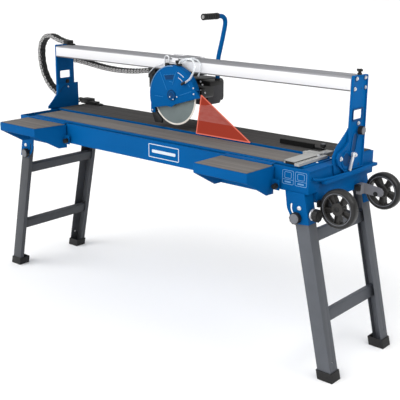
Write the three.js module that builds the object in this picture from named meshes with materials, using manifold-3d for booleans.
// Rail-guided tile cutter: folding leg frames, a water basin with a split table, two sliding
// extension tables, a tilting guide rail on two uprights and a cutting head on a carriage.
// Millimetres, +Z up. x = 0 is the middle of the basin, +X the wheel end, +Y the back.

import * as THREE from "three";
import { mergeVertices } from "three/addons/utils/BufferGeometryUtils.js";
import Module from "manifold-3d";

const wasm = await Module();
wasm.setup();

// ---------------------------------------------------------------- driving dimensions

const GAP = 0.3; // between two pieces that touch
const SHEET = 4; // folded sheet steel

const BASIN = { end: 777, front: -339, back: 86, bottom: 658, rim: 741 };
const SUMP = { inner: 672, front: -284, back: 14, bottom: 615 };
const RIB_X = 300;

const SLOT = { front: -151, back: -124, centre: -137.5 };
const TABLE = { bottom: 735, top: 743.5, frontLeft: -710, frontRight: 742, frontEdge: -312, rearEnd: 772, rearEdge: 80 };
const MAT_THICKNESS = 1.7;

const RAIL = { end: 783, front: -115, back: -11, bottom: 982.5, top: 1030, wall: 4 };
const UPRIGHT = { inner: 783.4, web: 787, outer: 793 };
const QUADRANT = { inner: 777.3, outer: 782.7 };

const SPLAY = THREE.MathUtils.degToRad(12.6);
const PIVOT = { x: 746, z: 607 };
const POST = { outer: 23.7, inner: -29, depth: 48, lip: 20, wall: 3, top: 28, frontY: -339, rearY: 67 };
const CROSSBAR = { heights: [213, 496], high: 40, inner: -22, outer: 4 };
const SHOE = { over: 4, up: 26, sole: 9 };

const EXTENSION = { front: -497, back: -344, top: 737, skirt: 703, hook: 638, left: -714, right: 401.5, wide: 236 };

const WHEEL = { x: 856, z: 610, radius: 69, wide: 32, frontY: -285, rearY: 20 };

const BLADE = { x: -16.5, z: 880, radius: 115, half: 1.2, bore: 12.7 };
const GUARD = { x: -11, z: 883, radius: 126, front: -158, back: -130, wall: 3 };
const HINGE = { x: -125, z: 950, pin: 6, eye: 12 };
const GEARBOX = { left: -80, right: 53.5, front: -129.7, back: 27.5, bottom: 866, top: 948 };
const MOTOR = { left: -95, right: 20, front: 28, back: 138, bottom: 826, top: 938 };
const HANDLE = { x: 95, radius: 7.5, grip: 13, tip: -93, gripTop: 1200 };

// ---------------------------------------------------------------- materials

function finish(color, roughness, metalness = 0) {
  return new THREE.MeshStandardMaterial({ color, roughness, metalness });
}

const BLUE = finish(0x0062a8, 0.4, 0.1);
const ALUMINIUM = finish(0xc9ccd0, 0.35, 0.9);
const GREY_STEEL = finish(0x54565b, 0.45, 0.3);
const BLACK = finish(0x2f2f31, 0.6);
const CHARCOAL = finish(0x3c3d40, 0.6);
const PALE_MAT = finish(0x85807b, 0.9);
const DARK_MAT = finish(0x545250, 0.9);
const BLADE_STEEL = finish(0x7c8787, 0.35, 0.8);
const BRIGHT = finish(0xd0d2d4, 0.25, 1);
const CLEAR = finish(0xe6eaec, 0.15);

// ---------------------------------------------------------------- solids

// A closed three.js geometry as a solid that can be cut and joined.
function solidOf(geometry) {
  geometry.deleteAttribute("normal");
  geometry.deleteAttribute("uv");
  const merged = mergeVertices(geometry, 1e-4);
  const vertProperties = new Float32Array(merged.attributes.position.array);
  const triVerts = new Uint32Array(merged.index.array);
  return new wasm.Manifold(new wasm.Mesh({ numProp: 3, vertProperties, triVerts }));
}

function addPart(group, name, solid, material) {
  const result = solid.getMesh();
  const geometry = new THREE.BufferGeometry();
  geometry.setAttribute("position", new THREE.BufferAttribute(result.vertProperties, 3));
  geometry.setIndex(new THREE.BufferAttribute(result.triVerts, 1));
  geometry.computeVertexNormals();
  const part = new THREE.Mesh(geometry, material);
  part.name = name;
  group.add(part);
}

function block(x0, x1, y0, y1, z0, z1) {
  const geometry = new THREE.BoxGeometry(x1 - x0, y1 - y0, z1 - z0);
  geometry.translate((x0 + x1) / 2, (y0 + y1) / 2, (z0 + z1) / 2);
  return solidOf(geometry);
}

// An outline pushed along one axis. Its points are (y, z) along x, (x, z) along y, (x, y) along z.
function slab(axis, points, low, high) {
  const shape = new THREE.Shape(points.map(([u, v]) => new THREE.Vector2(u, v)));
  const geometry = new THREE.ExtrudeGeometry(shape, { depth: high - low, bevelEnabled: false });
  const X = new THREE.Vector3(1, 0, 0);
  const Y = new THREE.Vector3(0, 1, 0);
  const Z = new THREE.Vector3(0, 0, 1);
  const turn = new THREE.Matrix4();
  if (axis === "x") turn.makeBasis(Y, Z, X).setPosition(low, 0, 0);
  if (axis === "y") turn.makeBasis(X, Z, Y.negate()).setPosition(0, high, 0);
  if (axis === "z") turn.makeTranslation(0, 0, low);
  return solidOf(geometry.applyMatrix4(turn));
}

// Points along an arc, angles in degrees.
function arc(u, v, radius, from, to, steps) {
  const points = [];
  for (let i = 0; i <= steps; i += 1) {
    const angle = THREE.MathUtils.degToRad(from + ((to - from) * i) / steps);
    points.push([u + radius * Math.cos(angle), v + radius * Math.sin(angle)]);
  }
  return points;
}

function disc(axis, u, v, radius, low, high, sides = 20) {
  return slab(axis, arc(u, v, radius, 0, 360 * (1 - 1 / sides), sides - 1), low, high);
}

function roundedBox(u0, u1, v0, v1, radius, steps = 3) {
  return [
    ...arc(u1 - radius, v0 + radius, radius, -90, 0, steps),
    ...arc(u1 - radius, v1 - radius, radius, 0, 90, steps),
    ...arc(u0 + radius, v1 - radius, radius, 90, 180, steps),
    ...arc(u0 + radius, v0 + radius, radius, 180, 270, steps),
  ];
}

// A constant section swept along a smooth route.
function sweep(section, route, steps) {
  const shape = new THREE.Shape(section.map(([u, v]) => new THREE.Vector2(u, v)));
  const path = new THREE.CatmullRomCurve3(route.map((p) => new THREE.Vector3(...p)), false, "centripetal");
  return solidOf(new THREE.ExtrudeGeometry(shape, { steps, extrudePath: path }));
}

function round(radius, sides) {
  return arc(0, 0, radius, 0, 360 * (1 - 1 / sides), sides - 1);
}

// A star-edged hand knob with its stem, along one axis. The stem runs from `foot` to the knob.
function knob(axis, u, v, radius, foot, low, high, stem = 4) {
  const rim = [];
  const lobes = 8;
  for (let i = 0; i < lobes * 4; i += 1) {
    const angle = (Math.PI * 2 * i) / (lobes * 4);
    const reach = radius * (i % 4 < 2 ? 1 : 0.92);
    rim.push([u + reach * Math.cos(angle), v + reach * Math.sin(angle)]);
  }
  const grip = slab(axis, rim, low, high);
  return grip.add(disc(axis, u, v, stem, Math.min(foot, low + 1), Math.max(foot, high - 1), 12));
}

function mirrorX(points) {
  return points.map(([x, z]) => [-x, z]).reverse();
}

// The low and high x of something that spans `near` to `far` from the middle, on one side.
function span(side, near, far) {
  return side > 0 ? [near, far] : [-far, -near];
}

// ---------------------------------------------------------------- basin and tables

// Outer face of a leg post at height z, measured level along x.
function postOuter(z) {
  return PIVOT.x + POST.outer / Math.cos(SPLAY) + (PIVOT.z - z) * Math.tan(SPLAY);
}

function sumpOutline(inset) {
  const top = BASIN.bottom + (inset > 0 ? 6 : 2);
  const { front, back, bottom } = SUMP;
  return [
    [front + inset, top],
    [front + inset, bottom + 14 + inset / 2],
    [front + 12 + inset / 2, bottom + inset],
    [back - inset, bottom + inset],
    [back - inset, BASIN.bottom - 12 + inset / 2],
    [back + 34 - inset, BASIN.bottom + inset / 2],
    [back + 34 - inset, top],
  ];
}

// The welded bracket that a leg frame folds in: a plate with an arc slot, a side flange, a top tab.
function legBracket(side, plateLow, plateHigh, tabLow, tabHigh) {
  const top = BASIN.bottom + 2;
  const out = 0.6;
  const foot = 554;
  const outline = [
    [686, top],
    [695, 600],
    [709, 575],
    [737, 549],
    [postOuter(foot) + out + SHEET, foot],
    [postOuter(top) + out + SHEET, top],
  ];
  const slot = [...arc(PIVOT.x, PIVOT.z, 38.5, 160, 262, 8), ...arc(PIVOT.x, PIVOT.z, 30.5, 262, 160, 8)];
  const flange = [
    [postOuter(foot) + out, foot],
    [postOuter(foot) + out + SHEET, foot],
    [postOuter(top) + out + SHEET, top],
    [postOuter(top) + out, top],
  ];
  const face = (points) => (side > 0 ? points : mirrorX(points));
  const plate = slab("y", face(outline), plateLow, plateHigh);
  const slotted = plate.subtract(slab("y", face(slot), plateLow - 1, plateHigh + 1));
  const [x0, x1] = span(side, 690, 762);
  return slotted.add(slab("y", face(flange), tabLow, tabHigh)).add(block(x0, x1, tabLow, tabHigh, 654, 660));
}

function basin() {
  const { end, front, back, bottom, rim } = BASIN;
  let tray = block(-end, end, front, back, bottom, rim);
  for (const side of [-1, 1]) {
    tray = tray.add(slab("x", sumpOutline(0), ...span(side, SUMP.inner, end)));
  }
  tray = tray.subtract(block(-end + SHEET, end - SHEET, front + SHEET, back - SHEET, bottom + SHEET, rim + 1));
  for (const side of [-1, 1]) {
    tray = tray.subtract(slab("x", sumpOutline(SHEET), ...span(side, SUMP.inner + SHEET, end - SHEET)));
    const lip = roundedBox(...span(side, end - 2, 800), -270, 45, 11);
    tray = tray.add(slab("z", lip, 684, 697).subtract(block(-end + 1, end - 1, -280, 60, 680, 700)));
    const [x0, x1] = span(side, RIB_X - 2, RIB_X + 2);
    const notch = block(x0 - 1, x1 + 1, SLOT.front - 12, SLOT.back + 12, 700, rim);
    tray = tray.add(block(x0, x1, front + 28, back - 2, bottom + 2, TABLE.bottom - GAP).subtract(notch));
    tray = tray.add(legBracket(side, front - 4.5, front - 0.5, front - 4.5, front + 46));
    tray = tray.add(legBracket(side, POST.rearY + 0.6, POST.rearY + 4.6, POST.rearY - 44, POST.rearY + 4.6));
  }
  const rimWidth = 8;
  tray = tray.add(block(-end, end, front, front + rimWidth, rim - 3, rim));
  return tray.add(block(-end, end, back - 3, back, rim - 3, rim));
}

// A table plate: sheet steel with its four edges folded down.
function tablePlate(left, right, front, back) {
  const { bottom, top } = TABLE;
  const wall = SHEET - 1;
  const hollow = block(left + wall, right - wall, front + wall, back - wall, bottom - 1, top - wall);
  return block(left, right, front, back, bottom, top).subtract(hollow);
}

function pump() {
  const floor = SUMP.bottom + SHEET + GAP;
  return block(690, 752, -170, -96, floor, floor + 40).add(disc("z", 721, -133, 20, floor + 39, floor + 58));
}

// ---------------------------------------------------------------- leg frames

// Outline of a post's section in (x, y), open towards the other post.
function postSection(outward, faceY, inwardY) {
  const { outer, inner, depth, lip, wall } = POST;
  const at = (x, y) => [outward * x, faceY + inwardY * y];
  const points = [
    at(outer, 0), at(outer, depth), at(outer - wall, depth), at(outer - wall, wall),
    at(inner + wall, wall), at(inner + wall, lip), at(inner, lip), at(inner, 0),
  ];
  return THREE.ShapeUtils.area(points.map(([x, y]) => new THREE.Vector2(x, y))) > 0 ? points : points.reverse();
}

// Everything of a leg frame below a level `height` above the floor, as a cutter in the frame's axes.
function belowFloor(outward, height) {
  const at = (x) => [outward * x, (height - PIVOT.z - x * Math.sin(SPLAY)) / Math.cos(SPLAY)];
  const deep = [[at(80)[0], -800], [at(-80)[0], -800]];
  const points = [at(-80), at(80), ...deep];
  return slab("y", outward > 0 ? points.reverse() : points, -500, 300);
}

function buildLegFrame(side, sideName) {
  const frame = new THREE.Group();
  frame.position.set(side * PIVOT.x, 0, PIVOT.z);
  frame.rotation.y = -side * SPLAY;
  const { over, up, sole } = SHOE;
  const rows = [["front", POST.frontY, 1], ["rear", POST.rearY, -1]];
  const crown = disc("y", 0, 0, POST.outer, -400, 200, 24);
  const roundTop = block(-60, 60, -400, 200, 0, 60).subtract(crown);
  for (const [rowName, faceY, inwardY] of rows) {
    const post = slab("z", postSection(side, faceY, inwardY), -700, POST.top).subtract(roundTop);
    const holes = disc("x", faceY + inwardY * 24, -558, 3, -60, 60, 8);
    addPart(frame, `post_${rowName}_${sideName}`, post.subtract(belowFloor(side, sole + GAP)).subtract(holes), GREY_STEEL);
    const [x0, x1] = span(side, POST.inner - over, POST.outer + over);
    const yOut = faceY - inwardY * over;
    const yIn = faceY + inwardY * (POST.depth + over);
    const cup = block(x0, x1, Math.min(yOut, yIn), Math.max(yOut, yIn), -700, 0);
    const tall = belowFloor(side, sole + up).intersect(cup).subtract(belowFloor(side, 0));
    const pocketY = [faceY - inwardY * GAP, faceY + inwardY * (POST.depth + GAP)].sort((a, b) => a - b);
    const [p0, p1] = span(side, POST.inner - GAP, POST.outer + GAP);
    const pocket = block(p0, p1, ...pocketY, -700, 0).subtract(belowFloor(side, sole));
    addPart(frame, `shoe_${rowName}_${sideName}`, tall.subtract(pocket), BLACK);
  }
  const [x0, x1] = span(side, CROSSBAR.inner, CROSSBAR.outer);
  const barNames = ["lower", "upper"];
  CROSSBAR.heights.forEach((height, i) => {
    const z = (height - PIVOT.z) / Math.cos(SPLAY);
    const [y0, y1] = [POST.frontY + POST.wall + GAP, POST.rearY - POST.wall - GAP];
    const bar = block(x0, x1, y0, y1, z - CROSSBAR.high / 2, z + CROSSBAR.high / 2);
    addPart(frame, `crossbar_${barNames[i]}_${sideName}`, bar, GREY_STEEL);
  });
  return frame;
}

// ---------------------------------------------------------------- extension tables

// `reach` is how far its clamping ear stands out past the skirt.
function extensionTable(left, reach) {
  const { front, back, top, skirt, hook, wide } = EXTENSION;
  const right = left + wide;
  const profile = [[front, top], [front, skirt], [-384, hook + 1], [back, hook], [back, top]];
  const inner = [
    [front + SHEET, top - SHEET], [front + SHEET, skirt - 10], [-384, hook - 10],
    [back - SHEET, hook - 10], [back - SHEET, top - SHEET],
  ];
  const shell = slab("x", profile, left, right).subtract(slab("x", inner, left + SHEET, right - SHEET));
  const hanger = block(left + 8, right - 8, back - 2, -323, BASIN.rim + GAP, BASIN.rim + 2.3);
  const web = block(left + 8, right - 8, back - 3, back, top - 2, BASIN.rim + 2.3);
  const lip = block(left + 8, right - 8, -326, -323, 727, BASIN.rim + 2);
  const ear = block(right - 1, right + reach + 11, back - 9, back - 5, 656, 694);
  const bore = disc("y", right + reach, 672, 5, back - 20, back, 12);
  return shell.add(web).add(hanger).add(lip).add(ear.subtract(bore));
}

function buildExtension(group, name, left, reach) {
  const { front, back, top, wide } = EXTENSION;
  addPart(group, `ext_table_${name}`, extensionTable(left, reach), BLUE);
  const mat = block(left + 4, left + wide - 4, front + 4, back - 5, top + GAP, top + GAP + MAT_THICKNESS);
  addPart(group, `ext_mat_${name}`, mat, PALE_MAT);
  const turn = knob("y", left + wide + reach, 672, 10, back - 1, back - 28, back - 11, 4);
  addPart(group, `ext_knob_${name}`, turn, BLACK);
}

// ---------------------------------------------------------------- wheels

function wheel(low) {
  const { x, z, radius, wide } = WHEEL;
  let solid = disc("y", x, z, radius, low, low + wide, 40);
  solid = solid.subtract(disc("y", x, z, 54, low - 1, low + 5, 32));
  solid = solid.subtract(disc("y", x, z, 54, low + wide - 5, low + wide + 1, 32));
  for (let i = 0; i < 5; i += 1) {
    const middle = 90 + 72 * i;
    const gapOutline = [...arc(x, z, 51, middle - 25, middle + 25, 5), ...arc(x, z, 30, middle + 18, middle - 18, 3)];
    solid = solid.subtract(slab("y", gapOutline, low, low + wide));
  }
  return solid.add(disc("y", x, z, 24, low + 1, low + wide - 1, 24));
}

// A flat arm from the basin's end wall to the hub, with the stub axle that the wheel turns on.
function wheelArm(plateLow, blockLow, blockHigh, axleLow, axleHigh) {
  const { x, z } = WHEEL;
  const outline = [
    [BASIN.end + GAP, 596], [788, 596], ...arc(x, z, 17, -105, 90, 6), [800, 634], [BASIN.end + GAP, 634],
  ];
  const foot = block(BASIN.end + GAP, BASIN.end + 18, blockLow, blockHigh, 596, 634);
  return slab("y", outline, plateLow, plateLow + 6).add(foot).add(disc("y", x, z, 7, axleLow, axleHigh, 16));
}

function buildWheels(group) {
  const { x, z, wide, frontY, rearY } = WHEEL;
  const bore = (low, high) => disc("y", x, z, 7 + GAP, low, high, 16);
  addPart(group, "wheel_front", wheel(frontY).subtract(bore(frontY + 4, frontY + wide + 1)), BLACK);
  addPart(group, "wheel_rear", wheel(rearY).subtract(bore(rearY - 1, rearY + wide - 4)), BLACK);
  addPart(group, "wheel_arm_front", wheelArm(-250, -249, -226, frontY + 5, -249), GREY_STEEL);
  addPart(group, "wheel_arm_rear", wheelArm(2, -24, 8, 3, rearY + wide - 5), GREY_STEEL);
}

// ---------------------------------------------------------------- bridge

function rail() {
  const { end, front, back, bottom, top, wall } = RAIL;
  let solid = slab("x", roundedBox(front, back, bottom, top, 5, 2), -end, end);
  solid = solid.subtract(block(-end - 1, end + 1, front + wall, back - wall, bottom + wall, top - wall - 3));
  for (const y of [front + 26, back - 26]) {
    solid = solid.subtract(block(-end - 1, end + 1, y - 5, y + 5, top - 3, top + 1));
  }
  return solid;
}

// Side outline of an upright in (y, z). The right one's foot carries a lobe round the tilt pivot, and
// both feet stay clear of the basin's lip when the bridge tilts.
function uprightOutline(side) {
  const lobe = [[-117, 845], [-122, 806], [-150, 788], [-182, 775], [-193, 758], [-182, 734]];
  const plain = [[-115, 809], [-148, 772], [-156, 752]];
  return [
    [-16, 703], [-12, 860], [-12, 1029], [-16, 1033], [-108, 1036], [-112, 1032],
    ...(side > 0 ? lobe : plain), [-150, 712], [-140, 703],
  ];
}

const WINDOW = [-95, -34, 880, 914];
const TILT_KNOB = { y: -54, z: 840 };
const TILT_LEVER = { y: -95, z: 760 };

// A flat web towards the rail with a rim round it that stands outwards.
function upright(side) {
  const { inner, web, outer } = UPRIGHT;
  const [y0, y1, z0, z1] = WINDOW;
  const outline = uprightOutline(side);
  const rimless = new wasm.CrossSection([outline], "NonZero").offset(-SHEET, "Miter").toPolygons()[0];
  let solid = slab("x", outline, ...span(side, inner, outer));
  solid = solid.subtract(slab("x", rimless, ...span(side, web, outer + 1)));
  solid = solid.add(slab("x", roundedBox(y0 - 5, y1 + 5, z0 - 5, z1 + 5, 6), ...span(side, inner, web + 3)));
  solid = solid.subtract(slab("x", roundedBox(y0, y1, z0, z1, 4), ...span(side, inner - 1, outer + 1)));
  solid = solid.add(disc("x", TILT_KNOB.y, TILT_KNOB.z, 13, ...span(side, inner, outer), 20));
  solid = solid.subtract(disc("x", TILT_KNOB.y, TILT_KNOB.z, 4.4, ...span(side, inner - 1, outer + 1), 12));
  if (side > 0) {
    solid = solid.add(disc("x", TILT_LEVER.y, TILT_LEVER.z, 10, inner, outer, 20));
    solid = solid.subtract(disc("x", TILT_LEVER.y, TILT_LEVER.z, 5.4, inner - 1, outer + 1, 12));
  }
  return solid;
}

function quadrantRight() {
  const outline = [
    [-190, 699], [6, 699], [6, 853], [-110, 853], [-119, 842], [-181, 797], [-204, 766], [-200, 740],
  ];
  return slab("x", outline, QUADRANT.inner, QUADRANT.outer);
}

function quadrantLeft() {
  const outline = [
    [-108, 699], [6, 699], [6, 853], [-112, 853], [-120, 811], [-177, 757], [-177, 746], [-108, 746],
  ];
  return slab("x", outline, -QUADRANT.outer, -QUADRANT.inner);
}

function tiltLever() {
  const { y, z } = TILT_LEVER;
  const hub = disc("x", y, z, 8, UPRIGHT.outer + GAP, 802, 16);
  const arm = [[y - 5, z + 2], [y - 23, z - 52], [y - 20, z - 57], [y - 14, z - 56], [y + 5, z - 2]];
  return hub.add(slab("x", arm, 796, 802)).add(disc("x", y, z, 5, UPRIGHT.inner + 1, 794, 12));
}

function buildBridge(group) {
  addPart(group, "rail", rail(), ALUMINIUM);
  addPart(group, "upright_left", upright(-1), BLUE);
  addPart(group, "upright_right", upright(1), BLUE);
  const { y, z } = TILT_KNOB;
  addPart(group, "tilt_knob_left", knob("x", y, z, 16, -UPRIGHT.inner - 1, -812, -794), BLACK);
  addPart(group, "tilt_knob_right", knob("x", y, z, 16, UPRIGHT.inner + 1, 794, 812), BLACK);
  addPart(group, "tilt_lever", tiltLever(), BRIGHT);
  addPart(group, "rail_knob", knob("z", 787, -64, 12, 1035.3, 1043, 1055), BLACK);
  const clamp = block(-782, -745, -50, -12, RAIL.top + GAP, 1053).add(block(-798, -781, -50, -12, 1037, 1053));
  addPart(group, "chain_clamp", clamp, BLACK);
}

// ---------------------------------------------------------------- cutting head

function carriage() {
  const { front, back, bottom, top } = RAIL;
  const roof = block(-60, 10, front + 1, back + 6, top + 0.5, top + 4);
  const rear = block(-140, 30, back + 0.6, back + 6, 960, top + 4);
  const floor = block(-190, 60, -110, back + 6, 966, bottom - 0.8);
  const strap = block(-46, -13, front - 4.5, front - 0.4, 1012, top + 4);
  const roofFront = block(-46, -13, front - 4.5, front + 2, top + 0.5, top + 4);
  const shelf = block(-46, 6, -136, front - 0.4, 1011.5, 1014.5).subtract(disc("z", -8, -128, 3.3, 1010, 1016, 12));
  let solid = roof.add(rear).add(floor).add(strap).add(roofFront).add(shelf);
  for (const y of [-106, -31]) {
    const ear = block(-140, -110, y, y + 11, 940, 967).add(disc("y", HINGE.x, HINGE.z, 14, y, y + 11, 20));
    solid = solid.add(ear);
  }
  return solid.add(disc("y", HINGE.x, HINGE.z, HINGE.pin, -100, -25, 16));
}

function depthScrew() {
  return knob("z", -8, -128, 9, 1010.6, 1016, 1027, 3);
}

function head() {
  const { left, right, front, back, bottom, top } = GEARBOX;
  const eye = disc("y", HINGE.x, HINGE.z, HINGE.eye, -94, -32, 20);
  const arm = slab("y", [[-128, 940], [left + 2, 905], [left + 2, top], [-125, 960]], -94, -32);
  const box = slab("y", roundedBox(left, right, bottom, top, 14), front, back);
  const bearing = disc("y", BLADE.x, BLADE.z, 34, front, front + 20, 24);
  const shelf = block(20, 108, -60, 16, 926, 944);
  const socket = disc("z", HANDLE.x, 1, 12, 930, 952, 20);
  let solid = eye.add(arm).add(box).add(bearing).add(shelf).add(socket);
  solid = solid.subtract(disc("y", HINGE.x, HINGE.z, HINGE.pin + GAP, -120, 0, 16));
  solid = solid.subtract(disc("z", HANDLE.x, 1, HANDLE.radius + GAP, 934, 960, 16));
  return solid.subtract(disc("y", BLADE.x, BLADE.z, 10.5, front - 1, front + 24, 20));
}

function motor() {
  const { left, right, front, back, bottom, top } = MOTOR;
  const body = slab("y", roundedBox(left, right, bottom, top, 12), front, back - 26);
  const cap = slab("y", roundedBox(left + 8, right - 5, bottom + 8, top - 7, 16), back - 27, back);
  return body.add(cap).subtract(block(left - 1, left + 8, 78, 108, 872, 900));
}

function blade() {
  const disk = disc("y", BLADE.x, BLADE.z, BLADE.radius, SLOT.centre - BLADE.half, SLOT.centre + BLADE.half, 64);
  return disk.subtract(disc("y", BLADE.x, BLADE.z, BLADE.bore, SLOT.centre - 5, SLOT.centre + 5, 20));
}

function bladeFlange() {
  const { x, z, half, bore } = BLADE;
  const outer = disc("y", x, z, 25, SLOT.centre - 9, SLOT.centre - half - GAP, 20);
  const inner = disc("y", x, z, 25, SLOT.centre + half + GAP, SLOT.centre + 6.5, 20);
  const shaft = disc("y", x, z, bore - GAP, SLOT.centre - 4, SLOT.centre + 5, 20);
  return outer.add(inner).add(shaft).add(disc("y", x, z, 10, SLOT.centre + 4, GEARBOX.front + 20, 16));
}

function guardOutline(inset) {
  const { x, z, radius } = GUARD;
  const dome = arc(x, z, radius - inset, 18, 204, 26);
  if (inset > 0) return [...dome, [x - 160, z - 110], [x + 160, z - 110], [x + 160, z + 8]];
  return [[139, 895], ...dome, [-127, 826], [-45, 842], [-16, 841], [2, 853]];
}

function guard() {
  const { front, back, wall } = GUARD;
  const shell = slab("y", guardOutline(0), front, back);
  const hollow = slab("y", guardOutline(wall + 1), front + wall, back - wall);
  const hub = disc("y", -13, 890, 22, front - 4, front + 1, 24);
  const ears = block(-140, -117, -149.5, -145.5, 806, 842).add(block(-140, -117, -134, -130, 806, 842));
  const behindTip = block(111, 145, front + 8, back + 1, 870, 925);
  const opening = disc("y", BLADE.x, BLADE.z, 36, back - wall - 1, back + 1, 24);
  const nozzle = disc("y", 55, 943, 7, front - 12, front + 1, 12);
  return shell.subtract(hollow).subtract(opening).subtract(behindTip).add(hub).add(nozzle).add(ears);
}

function splashFlap() {
  const outline = [
    [-139, 826], [-127, 826], ...arc(BLADE.x, BLADE.z, 119, 211, 236, 5), [-84, 765], [-122, 764], [-139, 800],
  ];
  return slab("y", outline.reverse(), -144.5, -134.5);
}

function laser() {
  const body = block(GEARBOX.right + GAP, 93, -98, -74, 895, 920);
  return body.add(disc("y", 80, 905, 7, -106, -97, 16));
}

function handleTube() {
  const route = [
    [HANDLE.x, 1, 936], [HANDLE.x, 1, 985], [HANDLE.x, 3, 1030], [HANDLE.x, 24, 1080], [HANDLE.x, 43, 1128],
    [HANDLE.x, 51, 1165], [HANDLE.x, 46, 1184], [HANDLE.x, 30, 1196], [HANDLE.x, 12, HANDLE.gripTop],
    [HANDLE.x, -20, HANDLE.gripTop], [HANDLE.x, -70, HANDLE.gripTop],
  ];
  return sweep(round(HANDLE.radius, 12), route, 30);
}

function handleGrip() {
  const sleeve = disc("y", HANDLE.x, HANDLE.gripTop, HANDLE.grip, HANDLE.tip, -2, 20);
  return sleeve.subtract(disc("y", HANDLE.x, HANDLE.gripTop, HANDLE.radius + 0.6, -71, 0, 16));
}

function hose() {
  const route = [
    [12, -140, 1012], [14, -140, 1022], [30, -142, 1032], [62, -146, 1040], [92, -150, 1036], [106, -154, 1018],
    [105, -160, 994], [92, -165, 968], [76, -166, 955], [64, -166, 947],
  ];
  return sweep(round(4, 8), route, 26);
}

function buildHead(group) {
  addPart(group, "carriage", carriage(), GREY_STEEL);
  addPart(group, "depth_screw", depthScrew(), BLACK);
  addPart(group, "head", head(), BLACK);
  addPart(group, "motor", motor(), CHARCOAL);
  addPart(group, "switch", block(MOTOR.left - 4, MOTOR.left + 3, 80, 106, 874, 898), BRIGHT);
  addPart(group, "blade", blade(), BLADE_STEEL);
  addPart(group, "blade_flange", bladeFlange(), BRIGHT);
  addPart(group, "guard", guard(), BLUE);
  addPart(group, "splash_flap", splashFlap(), BLACK);
  addPart(group, "laser", laser(), BLACK);
  addPart(group, "handle_tube", handleTube(), BLUE);
  addPart(group, "handle_grip", handleGrip(), BLACK);
  addPart(group, "hose", hose(), CLEAR);
}

// ---------------------------------------------------------------- energy chains

// The two chains are held at both ends; links are 36 wide across and 20 thick in the bend.
const CHAIN_SECTION = roundedBox(-18, 18, -10, 10, 3, 1);

function chainArch() {
  const route = [
    [-803, -31, 1044], [-850, -31, 1057], [-910, -31, 1077], [-965, -31, 1066], [-1002, -31, 1020],
    [-1010, -31, 962], [-998, -31, 905], [-971, -31, 858], [-936, -28, 820], [-895, -14, 788],
    [-858, 12, 768], [-828, 40, 759], [-808, 50, 757],
  ];
  return sweep(CHAIN_SECTION, route, 40);
}

function chainRun() {
  const route = [
    [-700, -65, 967], [-681, -65, 968], [-607, -65, 951], [-507, -65, 938], [-411, -65, 934], [-317, -65, 941],
    [-237, -65, 957], [-198, -65, 967],
  ];
  return sweep(CHAIN_SECTION, route, 30);
}

// ---------------------------------------------------------------- fence

function fenceRail() {
  const low = TABLE.top + MAT_THICKNESS + 2 * GAP;
  const base = block(633, 711, -293, -126, low, low + 4);
  const ridges = [636, 668, 702].map((x) => block(x, x + 6, -293, -126, low + 3, low + 11));
  const tongue = block(640, 668, -127, -104, low, low + 4);
  const shoe = block(628, 677, -105, -24, low, low + 4);
  let solid = base.add(tongue).add(shoe);
  for (const ridge of ridges) solid = solid.add(ridge);
  return solid.subtract(disc("z", 650, -58, 4.4, low - 1, low + 6, 12));
}

function fenceBar() {
  const low = TABLE.top + MAT_THICKNESS + 2 * GAP + 4 + GAP;
  const bar = slab("z", [[445, -68], [640, -68], ...arc(650, -58, 12, -60, 60, 5), [640, -48], [445, -48]], low, low + 7);
  return bar.subtract(disc("z", 650, -58, 4.4, low - 1, low + 8, 12));
}

// ---------------------------------------------------------------- assembly

const cutter = new THREE.Group();

addPart(cutter, "basin", basin(), BLUE);
addPart(cutter, "pump", pump(), BLACK);

const { top: plateTop, frontLeft, frontRight, frontEdge, rearEnd, rearEdge } = TABLE;
const matTop = plateTop + GAP + MAT_THICKNESS;
addPart(cutter, "front_table", tablePlate(frontLeft, frontRight, frontEdge, SLOT.front), BLUE);
addPart(cutter, "rear_table", tablePlate(-rearEnd, rearEnd, SLOT.back, rearEdge), BLUE);
addPart(cutter, "front_mat", block(-704, 704, -297, SLOT.front - 11, plateTop + GAP, matTop), PALE_MAT);
addPart(cutter, "rear_mat", block(-768, 768, SLOT.back + 2, rearEdge - 3, plateTop + GAP, matTop), DARK_MAT);

addPart(cutter, "quadrant_left", quadrantLeft(), BLUE);
addPart(cutter, "quadrant_right", quadrantRight(), BLUE);
addPart(cutter, "chain_foot", block(-797.6, -741, 36, 78, matTop + GAP, matTop + 24), BLACK);
addPart(cutter, "chain_arch", chainArch(), BLACK);
addPart(cutter, "chain_run", chainRun(), BLACK);

addPart(cutter, "fence_rail", fenceRail(), ALUMINIUM);
addPart(cutter, "fence_bar", fenceBar(), BLACK);
addPart(cutter, "fence_knob", knob("z", 650, -58, 11, 746.5, 758, 770), BLACK);

cutter.add(buildLegFrame(-1, "left"));
cutter.add(buildLegFrame(1, "right"));
addPart(cutter, "leg_knob_left", knob("y", -738, 572, 21, BASIN.front - 5, BASIN.front - 24, BASIN.front - 7), BLACK);
addPart(cutter, "leg_knob_right", knob("y", 738, 572, 21, BASIN.front - 5, BASIN.front - 24, BASIN.front - 7), BLACK);
addPart(cutter, "wheel_arm_knob", knob("x", -318, 586, 23, 786, 794, 812, 5), BLACK);

buildExtension(cutter, "left", EXTENSION.left, 36);
buildExtension(cutter, "right", EXTENSION.right, 18);
buildWheels(cutter);
buildBridge(cutter);
buildHead(cutter);

// The origin is the middle of the whole cutter, on the floor.
const box = new THREE.Box3().setFromObject(cutter, true);
const centre = box.getCenter(new THREE.Vector3());
cutter.position.set(-centre.x, -centre.y, -box.min.z);
cutter.updateMatrixWorld(true);

export default cutter;
